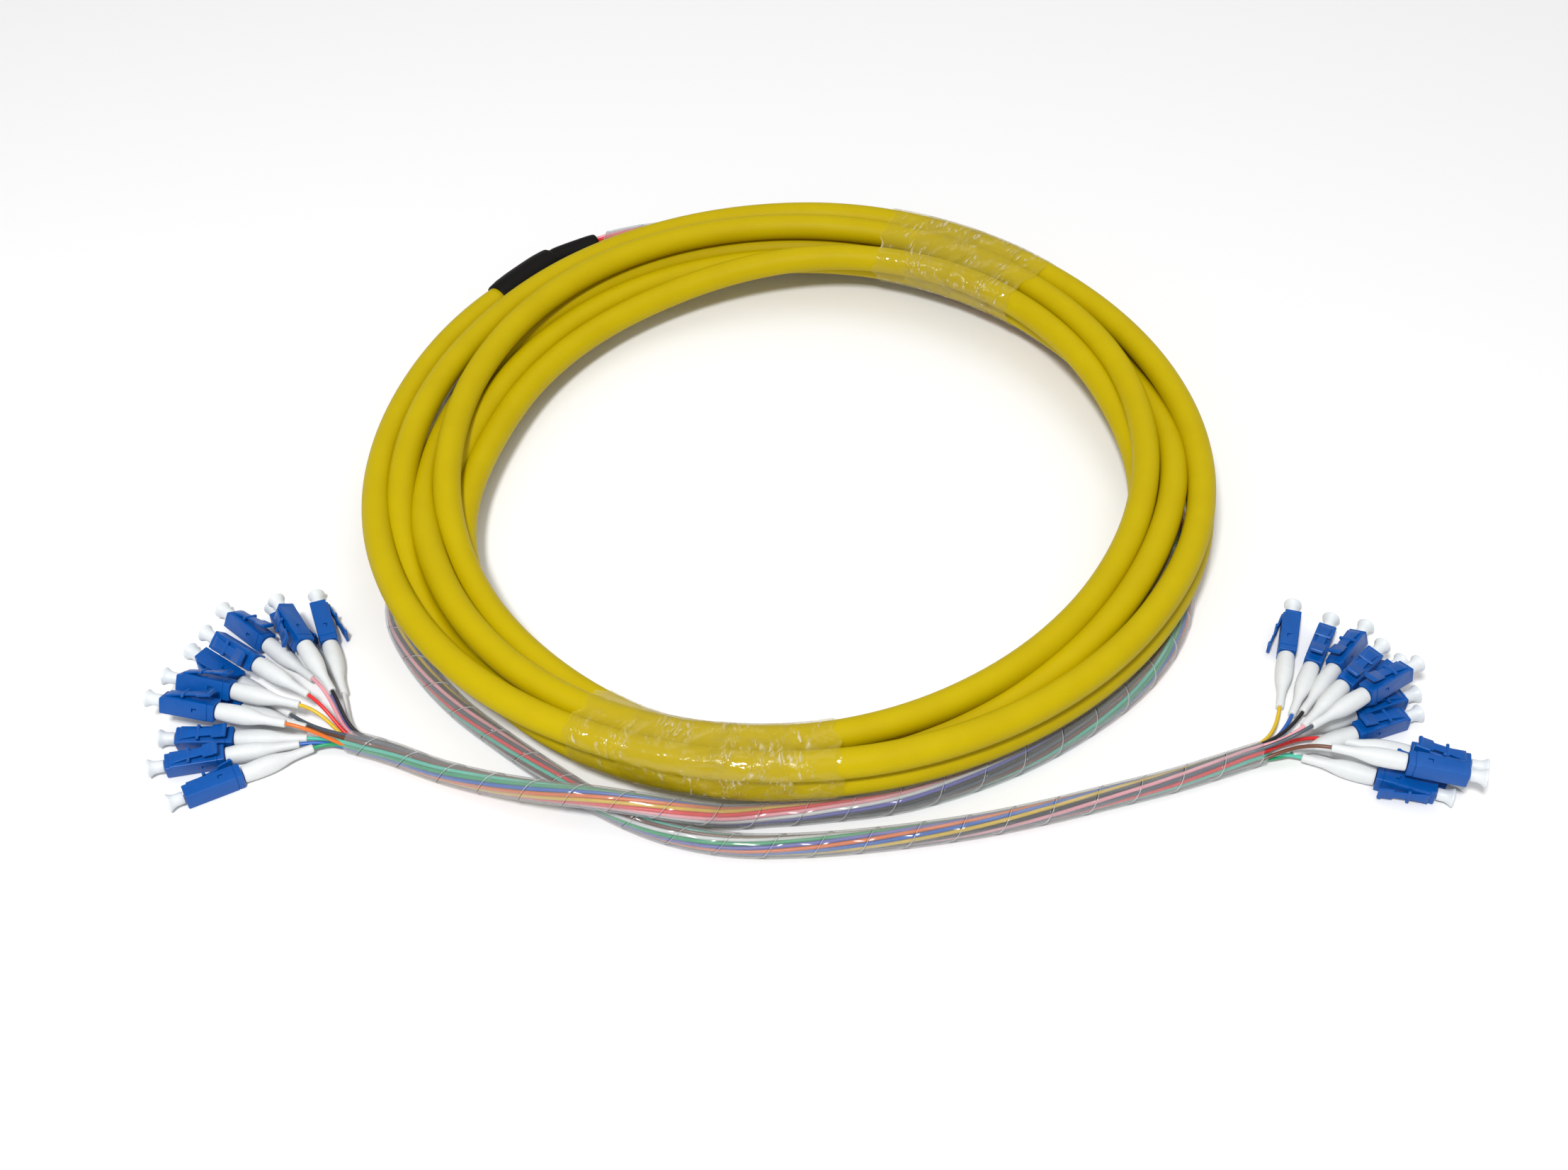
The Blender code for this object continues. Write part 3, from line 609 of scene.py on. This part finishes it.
def wound_strip(leg):
    """Each turn of the strip starts one pitch further along the leg. A point across the strip lies that far
    along the leg plus its share of the strip's width, at the wrap's radius and the strip's angle."""
    along = lengths_along(leg)
    _, right, up = directions(leg)
    turns = along[-1] / WRAP_PITCH
    turn = np.linspace(-WRAP_EARLY, turns - WRAP_SHORT, round(turns * WRAP_STEPS))[:, None]
    # The points round the strip's section, as shares of its width and of its wall
    across = np.array([1.0, 0.985, 0.75, 0.5, 0.25, 0.015, 0.0, 0.0, 0.015, 0.5, 0.985, 1.0])[None]
    depth = np.array([0.2, 0.0, 0.0, 0.0, 0.0, 0.0, 0.2, 0.8, 1.0, 1.0, 1.0, 0.8])[None]
    where = np.clip(turn * WRAP_PITCH + across * (WRAP_PITCH - WRAP_SLIT), 0.0, along[-1])
    angle = 2 * math.pi * turn[..., None]
    radius = (WRAP_D / 2 - depth * WRAP_WALL)[..., None]
    centre, right, up = (
        np.stack([np.interp(where, along, line[:, k]) for k in range(3)], -1) for line in (leg, right, up)
    )
    return centre + radius * (np.cos(angle) * right + np.sin(angle) * up)


# Clear polyethylene: what lies at a slant to the eye looks denser. Alpha thins the gloss as well as the
# colour, so the gloss is set higher than that of the bare plastic
wrap_clear, tree, shader = start_material(
    "clear_polyethylene_wrap",
    {"Base Color": colour("b4b7b9"), "IOR": 1.8, "Specular IOR Level": 1.0, "Roughness": 0.14},
)
feed(tree, shader, {
    "Alpha": ranged(tree, slant(tree, 0.2), 0.1, 0.9),
    "Normal": bumped(tree, noise(tree, RIPPLE_MM), 0.3, 0.1),
})

# The same plastic where the blade has cut it, painted as a pale, denser line: partly the frosting of the
# rough cut, partly a painted highlight for the light that bends through the cut edge
cut_frosting_and_highlight, tree, shader = start_material("cut_edge_frosting_and_painted_highlight", {"Base Color": colour("d5d8d8"), "IOR": 1.5})
tears = noise(tree, CUT_GRAIN_MM)
feed(tree, shader, {"Alpha": ranged(tree, tears, 0.35, 0.85), "Roughness": ranged(tree, tears, 0.3, 0.6)})


def cut_edge(strip):
    """A thin bead along the edge of the strip that lies nearer the sleeve: rings of points about the middle
    of that edge, whose two directions are the strip's depth and the way along the leg."""
    depth = strip[:, 7] - strip[:, 6]
    depth /= np.linalg.norm(depth, axis=1, keepdims=True)
    ahead = strip[:, 3] - strip[:, 5]
    ahead /= np.linalg.norm(ahead, axis=1, keepdims=True)
    centre = (strip[:, 6] + strip[:, 7]) / 2
    angle = np.linspace(0.0, 2 * math.pi, BEAD_SIDES, endpoint=False)[None, :, None]
    bead = np.cos(angle) * depth[:, None] + 0.5 * np.sin(angle) * ahead[:, None]
    return centre[:, None] + WRAP_WALL / 2 * bead


for end in "ab":
    strip = wound_strip(leg_paths[end])
    wound_wrap = make_piece(
        f"wound_wrap_{end}", shell(strip), wrap_clear, replaced=[f"spiral_wrap_{end}"], sharp=50
    )
    # The bead carries the pale line along the cut: frosted plastic and painted highlight
    make_piece(f"cut_frosting_and_highlight_{end}", shell(cut_edge(strip)), cut_frosting_and_highlight)
print("wraps wound")

# %% [markdown]
# ## The plug housing
#
# The housing is a small square block of moulded blue plastic, with a thin lever along its top. The lever
# springs up from near the front face, has a crossbar that locks into an adapter, and ends in a wider pad
# for a finger. A hook-shaped window on each side shows where the front and rear mouldings snap together.
# The block is a rounded square carried along the plug's axis, with its size changed at each step of it.


# %% Carry a rounded rectangle along a line
def rounded_bar(stations, corner_steps=3):
    """A grid of points: at each station (x, z middle, half width, half height, corner radius) a rectangle
    with quarter circles for corners, each corner's centre set in from the sides by the radius."""
    x, middle, wide, high, corner = np.array(stations).T[:, :, None]
    corner = np.minimum(corner, np.minimum(wide, high) * 0.98)
    quarter = np.linspace(0.0, math.pi / 2, corner_steps + 1)
    angle = (quarter[None] + np.arange(4)[:, None] * math.pi / 2).ravel()[None]
    corner_angle = angle.reshape(4, -1).mean(axis=1)
    sign_y = np.sign(np.cos(corner_angle)).repeat(corner_steps + 1)[None]
    sign_z = np.sign(np.sin(corner_angle)).repeat(corner_steps + 1)[None]
    y = sign_y * (wide - corner) + corner * np.cos(angle)
    z = middle + sign_z * (high - corner) + corner * np.sin(angle)
    return np.stack([x + 0 * y, -y, z], -1) * MM


def turned_bar(profile, sides):
    """A grid of points round the X axis from (x, radius) pairs, in millimetres: the radius times the cosine
    of an angle to the right of X, and times its sine upward."""
    x, radius = np.array(profile).T[:, :, None] * MM
    angle = np.linspace(0.0, 2 * math.pi, sides, endpoint=False)[None]
    return np.stack([x + 0 * angle, -radius * np.cos(angle), radius * np.sin(angle)], -1)


# %% Shape one housing
# Half the width of the housing in millimetres
HALF = HOUSING_W / 2 / MM
housing_block = rounded_bar([
    (-17.6, 0.0, HALF - 0.25, HALF - 0.25, 0.3),
    (-17.4, 0.0, HALF - 0.05, HALF - 0.05, 0.35),
    (-15.8, 0.0, HALF - 0.05, HALF - 0.05, 0.35),
    (-15.7, 0.0, HALF - 0.2, HALF - 0.2, 0.3),
    (-15.5, 0.0, HALF - 0.2, HALF - 0.2, 0.3),
    (-15.4, 0.0, HALF, HALF, 0.35),
    (-1.7, 0.0, HALF, HALF, 0.35),
    (-1.5, -0.3, HALF, HALF - 0.3, 0.35),
    (-0.2, -0.3, HALF, HALF - 0.3, 0.35),
    (0.0, -0.3, HALF - 0.2, HALF - 0.5, 0.3),
])
latch_lever = rounded_bar([
    (-16.2, HALF + 2.7, 2.0, 0.4, 0.3),
    (-15.9, HALF + 2.85, 2.25, 0.5, 0.35),
    (-15.2, HALF + 2.8, 2.25, 0.5, 0.35),
    (-14.8, HALF + 2.5, 2.25, 0.35, 0.3),
    (-11.9, HALF + 1.95, 2.2, 0.35, 0.3),
    (-11.5, HALF + 1.85, 1.4, 0.35, 0.3),
    (-6.5, HALF + 0.95, 1.4, 0.35, 0.3),
    (-3.4, HALF + 0.35, 1.7, 0.4, 0.3),
    (-1.9, HALF - 0.1, 2.0, 0.5, 0.3),
    (-1.5, HALF - 0.4, 2.0, 0.3, 0.2),
])
# The crossbar is turned about X and then laid across the lever
crossbar = turned_bar([(-2.55, 0.35), (-2.4, 0.55), (2.4, 0.55), (2.55, 0.35)], 12)
crossbar = np.stack([-crossbar[..., 1], crossbar[..., 0], crossbar[..., 2]], -1)
crossbar_place = np.array([-7.4, 0.0, HALF + 1.25]) * MM
housing_skin = joined([shell(housing_block), shell(latch_lever), shell(crossbar + crossbar_place)])
print(len(housing_skin[1]), "faces in a housing")


# %% Cut the hook-shaped windows
def cut(skin, cutter_skin):
    """A skin with another one cut out of it, by Blender's exact Boolean."""
    meshes = []
    for points, faces, _ in (skin, cutter_skin):
        mesh = bpy.data.meshes.new("cut")
        mesh.from_pydata(points, [], faces)
        meshes.append(mesh)
    body, cutter = (bpy.data.objects.new("cut", mesh) for mesh in meshes)
    for obj in (body, cutter):
        bpy.context.scene.collection.objects.link(obj)
    modifier = body.modifiers.new("windows", "BOOLEAN")
    modifier.operation = "DIFFERENCE"
    modifier.solver = "EXACT"
    modifier.use_self = True
    modifier.object = cutter
    cut_mesh = bpy.data.meshes.new_from_object(body.evaluated_get(bpy.context.evaluated_depsgraph_get()))
    points = np.zeros(len(cut_mesh.vertices) * 3)
    cut_mesh.vertices.foreach_get("co", points)
    faces = [list(face.vertices) for face in cut_mesh.polygons]
    for obj in (body, cutter):
        bpy.data.objects.remove(obj, do_unlink=True)
    return points.reshape(-1, 3), faces, np.zeros((sum(len(face) for face in faces), 2))


# From and to along the plug, and from and to in height, in millimetres
WINDOW_PARTS = [(-12.2, -10.6, 0.35, 0.8), (-11.0, -10.6, -0.5, 0.8)]
WINDOW_DEPTH = 0.7

windows = []
for side in (-1, 1):
    for back, front, low, high in WINDOW_PARTS:
        ends = [(x, (low + high) / 2, WINDOW_DEPTH, (high - low) / 2, 0.05) for x in (back, front)]
        windows.append(shell(rounded_bar(ends, 1) + np.array([0.0, side * HALF * MM, 0.0])))
housing_cut = cut(housing_skin, joined(windows))
print(len(housing_cut[1]), "faces with its windows")

# %% [markdown]
# ## Boots and dust caps
#
# The boot is a soft white sleeve behind the housing. It is as wide as the housing, then narrows halfway to
# a straight neck that keeps the fibre from kinking. The dust cap is a short barrel that flares out like a
# trumpet to a thin rim, so that two fingers can pull it off. Both are round, so each is a profile turned
# about the plug's axis.

# %% Shape one boot, one dust cap and one ferrule
TURNED_SIDES = 24

boot_profile = [
    (-39.7, 0.85), (-39.65, 1.15), (-39.45, 1.27), (-38.9, 1.3), (-35.5, 1.36), (-33.2, 1.5), (-31.6, 1.8),
    (-30.0, 2.2), (-28.2, 2.58), (-26.4, 2.8), (-24.2, 2.9), (-21.5, 2.86), (-19.5, 2.74), (-18.4, 2.66),
    (-18.0, 2.6), (-17.9, 2.4),
]
cap_profile = [
    (0.3, 1.5), (0.3, 1.8), (0.45, 1.9), (2.5, 1.88), (3.1, 1.95), (3.8, 2.2), (4.4, 2.55), (4.75, 2.78),
    (4.9, 2.8), (5.1, 2.8), (5.2, 2.7), (5.15, 2.4), (4.9, 1.9), (4.75, 1.2), (4.7, 0.4),
]
boot_skin = shell(turned_bar(boot_profile, TURNED_SIDES))
cap_skin = shell(turned_bar(cap_profile, TURNED_SIDES))
ferrule_skin = shell(turned_bar([(-0.3, 0.6), (3.3, 0.62), (3.6, 0.45)], 16))
print(f"boot {boot_profile[-1][0] - boot_profile[0][0]:.1f} mm long")

# %% Moulded plastics
MOULD_GRAIN_MM = 0.25


def moulded(name, light, dark, settings, rough, patch_mm, bump_mm):
    """A moulded plastic: two near colours in soft patches, a fine grain and a roughness that varies."""
    material, tree, shader = start_material(name, settings)
    grain = noise(tree, MOULD_GRAIN_MM)
    feed(tree, shader, {
        "Base Color": mixed_colour(tree, dark, light, noise(tree, patch_mm)),
        "Roughness": ranged(tree, grain, *rough),
        "Normal": bumped(tree, grain, 0.3, bump_mm),
    })
    return material


# Glass-filled nylon from a polished mould: deep blue, glossy in places
housing_nylon = moulded(
    "moulded_blue_nylon", "0056a8", "004c9c",
    {"IOR": 1.53, "Specular IOR Level": 0.3}, (0.28, 0.45), 3.0, 0.02,
)
# Soft thermoplastic rubber: white, satin, slightly cloudy
boot_rubber = moulded("moulded_white_rubber", "dfe1e1", "d3d7d8", {"IOR": 1.5}, (0.45, 0.6), 2.0, 0.03)
# Low-density polyethylene: white, waxy, with some light going through it
cap_polyethylene = moulded(
    "moulded_cap_polyethylene", "e2e6e8", "d6dcdf",
    {"IOR": 1.51, "Subsurface Weight": 0.3, "Subsurface Radius": (1.0, 1.0, 1.0), "Subsurface Scale": 0.001},
    (0.35, 0.5), 2.0, 0.01,
)
# Zirconia, ground and polished: hard white ceramic, seen only with the cap off
ferrule_zirconia = moulded("polished_zirconia", "f5f5f2", "ecece8", {"IOR": 2.1}, (0.08, 0.15), 1.0, 0.002)

# %% Place the plugs and run the fibres to them
for end in "ab":
    for i, (front, turn) in enumerate(plug_frames[end]):
        number = f"{end}_{i + 1:02d}"
        housing = make_piece(
            f"plug_housing_{number}", placed(housing_cut, front, turn), housing_nylon,
            replaced=[f"housing_{number}"], sharp=40,
        )
        ferrule = make_piece(f"ferrule_{number}", placed(ferrule_skin, front, turn), ferrule_zirconia)
        boot = make_piece(f"boot_{number}", placed(boot_skin, front, turn), boot_rubber)
        cap = make_piece(
            f"dust_cap_{number}", placed(cap_skin, front, turn), cap_polyethylene,
            replaced=[f"cap_{number}"], sharp=60,
        )
        path = fibre_paths[end, i]
        fibre_skin = shell(tube(path, FIBRE_D / 2, FIBRE_SIDES))
        fibre = make_piece(f"fibre_{number}", fibre_skin, fibre_coats[FIBRE_COLOURS[end][i]])
        # The first fibre of an end stands for its plain fan
        if i == 0:
            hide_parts(f"fibre_fan_{end}")
print("plugs and fibres placed")

# %% [markdown]
# ## Heat shrink
#
# Two sleeves of black heat shrink cover the place where the jacket ends: a large one over the cable, and a
# small one that comes out of it over the fibres. When they are heated they draw in over what is inside, so
# each end has a thin lip and the surface is gently uneven.

# %% Shrunk black sleeves
SLEEVE_GRAIN_MM = 0.3
SLEEVE_WAVE_MM = 5.0
SLEEVE_SIDES = 32
RING_STEP = 1.5 * MM
RING_MARGIN = 2 * MM

sleeve_black, tree, shader = start_material(
    "shrunk_black_polyolefin", {"IOR": 1.48, "Specular IOR Level": 0.15}
)
grain = noise(tree, SLEEVE_GRAIN_MM)
relief = combined(tree, "MULTIPLY_ADD", noise(tree, SLEEVE_WAVE_MM), 6.0, grain)
feed(tree, shader, {
    "Base Color": mixed_colour(tree, "080706", "100e0c", grain),
    "Roughness": ranged(tree, grain, 0.5, 0.65),
    "Normal": bumped(tree, relief, 0.4, 0.06),
})


def sleeve(route, profile):
    """A sleeve along a route: its radius, in millimetres, follows (distance from the start, radius) pairs,
    where a distance below zero counts back from the far end. Evenly spaced rings let it bend in between."""
    fine = smooth_route(route, 0.25 * MM)
    along = lengths_along(fine)
    stations = np.array([(d * MM if d >= 0 else along[-1] + d * MM, r * MM) for d, r in profile])
    stations[-1, 0] = along[-1]
    rings = np.arange(RING_MARGIN, along[-1] - RING_MARGIN, RING_STEP)
    places = np.unique(np.concatenate([stations[:, 0], rings]))
    path = np.stack([np.interp(places, along, fine[:, k]) for k in range(3)], -1)
    return shell(tube(path, np.interp(places, stations[:, 0], stations[:, 1]), SLEEVE_SIDES))


SLEEVES = {
    "large": (large_routes, [
        (0, 4.7), (0.05, 5.15), (0.3, 5.35), (1.0, 5.45), (4.0, 5.8), (9.0, 5.95), (-6.0, 5.95), (-2.0, 5.75),
        (-0.5, 5.6), (-0.1, 5.3), (-0.01, 4.4),
    ]),
    "small": (small_routes, [
        (0, 4.1), (0.3, 4.25), (3.0, 4.3), (-3.0, 4.25), (-0.6, 4.1), (-0.15, 3.9), (-0.01, 3.3),
    ]),
}
for end in "ab":
    for size, (routes, profile) in SLEEVES.items():
        make_piece(
            f"{size}_sleeve_{end}", sleeve(routes[end], profile), sleeve_black,
            replaced=[f"heat_shrink_{end}_{size}"], sharp=50,
        )
print("sleeves made")

# %% [markdown]
# ## Clear film
#
# The coil is held by a few turns of thin clear film, pulled tight around all the strands. It spans straight
# from one strand to the next, and is full of small creases that flash where the light catches them, with
# glints also painted onto the folds. Its section is worked out as a rubber band around the strands.

# %% Film around the strands
FILM_CLEARANCE = 0.25 * MM
FILM_LAYER_MM = 0.12
FILM_POINTS = 160
BANDS_PER_DEG = 4
MM_PER_DEG = 2.35
BAND_STEPS = 720
CREASES = 14
CREASE_MM = 0.05
FOLD_WIDTH_MM = 1.3
FOLD_LENGTH_MM = 5.0
GATHER_MM = 9.0


def strands_at(azimuth):
    """Where the trunk cable crosses a half plane from the coil's centre: (distance, height) of each pass."""
    flat = trunk_path - COIL_CENTRE
    angle = np.degrees(np.unwrap(np.arctan2(flat[:, 1], flat[:, 0])))
    first = math.ceil((angle[0] - azimuth) / 360)
    last = math.floor((angle[-1] - azimuth) / 360)
    passes = azimuth + 360 * np.arange(first, last + 1)
    distance = np.interp(passes, angle, np.linalg.norm(flat[:, :2], axis=1))
    return np.stack([distance, np.interp(passes, angle, flat[:, 2])], -1)


def band_around(centres, radius):
    """The tight band around circles: in each direction it touches the circle that reaches furthest."""
    angle = np.linspace(0.0, 2 * math.pi, BAND_STEPS, endpoint=False)
    toward = np.stack([np.cos(angle), np.sin(angle)], -1)
    furthest = (centres @ toward.T).argmax(axis=0)
    band = centres[furthest] + radius * toward
    closed = np.vstack([band, band[:1]])
    along = lengths_along(closed)
    want = np.linspace(0.0, along[-1], FILM_POINTS, endpoint=False)
    return np.stack([np.interp(want, along, closed[:, k]) for k in range(2)], -1)


def film(from_az, to_az, seed, layer):
    """A sheet of bands, one for each azimuth, each pushed out by creases: ridges from sine waves in random
    directions, of which only what is near a crest is kept. Its two long edges are ragged."""
    draw = np.random.default_rng(seed)
    azimuths = np.linspace(from_az, to_az, round((to_az - from_az) * BANDS_PER_DEG))
    radius = CABLE_D / 2 + FILM_CLEARANCE + layer * FILM_LAYER_MM * MM
    bands = np.stack([band_around(strands_at(azimuth), radius) for azimuth in azimuths])
    outward = bands - bands.mean(axis=1, keepdims=True)
    outward /= np.linalg.norm(outward, axis=2, keepdims=True)
    row = np.linspace(0.0, 1.0, len(azimuths))[:, None] * (to_az - from_az) * MM_PER_DEG
    column = np.linspace(0.0, 1.0, FILM_POINTS, endpoint=False)[None] * 2 * math.pi
    creases = np.zeros((len(azimuths), FILM_POINTS))
    for _ in range(CREASES):
        along = draw.uniform(0.2, 2.2)
        about = draw.integers(3, 26)
        phase = draw.uniform(0, 6.3)
        strength = draw.uniform(0.3, 1)
        wave = np.sin(row * along * draw.choice([-1, 1]) + column * about + phase)
        creases += strength * np.maximum(0.0, np.abs(wave) - 0.8) / 0.2
    bands = bands + outward * (creases * CREASE_MM * MM)[..., None]
    ragged = 0.35 * np.sin(column * 5 + draw.uniform(0, 6)) + 0.25 * np.sin(column * 11 + draw.uniform(0, 6))
    share = np.linspace(-1.0, 1.0, len(azimuths))[:, None]
    where = azimuths[:, None] + ragged * share
    return polar(where, bands[..., 0], bands[..., 1])


def sheet_skin(grid):
    """The skin of an open sheet whose columns close on themselves."""
    return shell(grid[::-1], capped=False)


# Stretched polyethylene, clear and very glossy, with folds that run across the coil and gather in places.
# The folds are painted whiter and denser: partly the whitening of creased film, partly painted glints where
# the creases catch the lamp. All that shows through it is the yellow jacket, so its clear parts take that
# yellow. That lets its alpha be high enough to keep the gloss, which alpha thins as well
film_clear, tree, shader = start_material(
    "stretched_clear_film", {"IOR": 1.7, "Specular IOR Level": 0.8, "Roughness": 0.12}
)
crinkle = mapped_noise(tree, FOLD_WIDTH_MM, FOLD_LENGTH_MM, {"Detail": 3.0, "Distortion": 0.6})
gathered = ranged(tree, noise(tree, GATHER_MM, detail=1.0), 0.0, 1.0, 0.42, 0.6)
# The folds are painted whiter and denser: part crease whitening, part painted glints
fold_whitening_and_glints = combined(tree, "MULTIPLY", ranged(tree, crinkle, 0.0, 0.7, 0.56, 0.68), gathered)
thin = ranged(tree, slant(tree, 0.12), 0.22, 0.5)
feed(tree, shader, {
    "Base Color": mixed_colour(tree, "d2bc14", "f2ecdc", fold_whitening_and_glints),
    "Alpha": combined(tree, "MULTIPLY_ADD", fold_whitening_and_glints, 0.5, thin),
    "Normal": bumped(tree, combined(tree, "MULTIPLY", crinkle, gathered), 0.9, 1.2),
})

# From and to in degrees, and the seed of the creases
FILM_BANDS = {
    "front": [(242.0, 262.0, 1), (249.0, 270.0, 2), (260.0, 276.0, 3)],
    "back": [(45.0, 60.0, 1), (50.0, 67.0, 2), (58.0, 73.0, 3)],
}
for side, bands in FILM_BANDS.items():
    skins = [sheet_skin(film(a, b, seed, layer)) for layer, (a, b, seed) in enumerate(bands)]
    make_piece(f"film_{side}", joined(skins), film_clear, replaced=[f"tape_{side}"])
print("film wound")

# %% [markdown]
# ## Table and light
#
# The photograph is evenly lit from above and in front, on white. Here the light comes from a white sky, a
# large soft lamp high at the back, and a small stronger one high at the front, which also shows as
# highlights on the film and the wrap.

# %% Floor and lamps
floor_mesh = bpy.data.meshes.new("floor")
floor_mesh.from_pydata([(-4, -4, 0), (4, -4, 0), (4, 4, 0), (-4, 4, 0)], [], [(0, 1, 2, 3)])
floor = bpy.data.objects.new("floor", floor_mesh)
bpy.context.scene.collection.objects.link(floor)
floor_paint, tree, shader = start_material(
    "matt_white_floor", {"Base Color": colour("f4f4f4"), "Roughness": 0.9, "Specular IOR Level": 0.1}
)
floor_mesh.materials.append(floor_paint)


def lamp(name, place, target, size, watts):
    """A square soft lamp that faces a point."""
    data = bpy.data.lights.new(name, "AREA")
    data.size = size
    data.energy = watts
    obj = bpy.data.objects.new(name, data)
    obj.location = place
    x, y, z = np.array(target) - np.array(place)
    obj.rotation_euler = (math.atan2(math.hypot(x, y), -z), 0.0, math.atan2(y, x) - math.pi / 2)
    bpy.context.scene.collection.objects.link(obj)


lamp("front_lamp", (-0.2, -0.75, 1.2), (0, 0, 0), 0.18, 15.0)
lamp("top_lamp", (0.4, 0.5, 1.6), (0, 0, 0), 1.2, 5.0)
world = bpy.data.worlds.new("soft_studio")
world.use_nodes = True
sky = world.node_tree.nodes["Background"]
sky.inputs["Color"].default_value = (1.0, 1.0, 1.0, 1.0)
sky.inputs["Strength"].default_value = 0.45
bpy.context.scene.world = world
bpy.context.scene.view_settings.view_transform = "Standard"
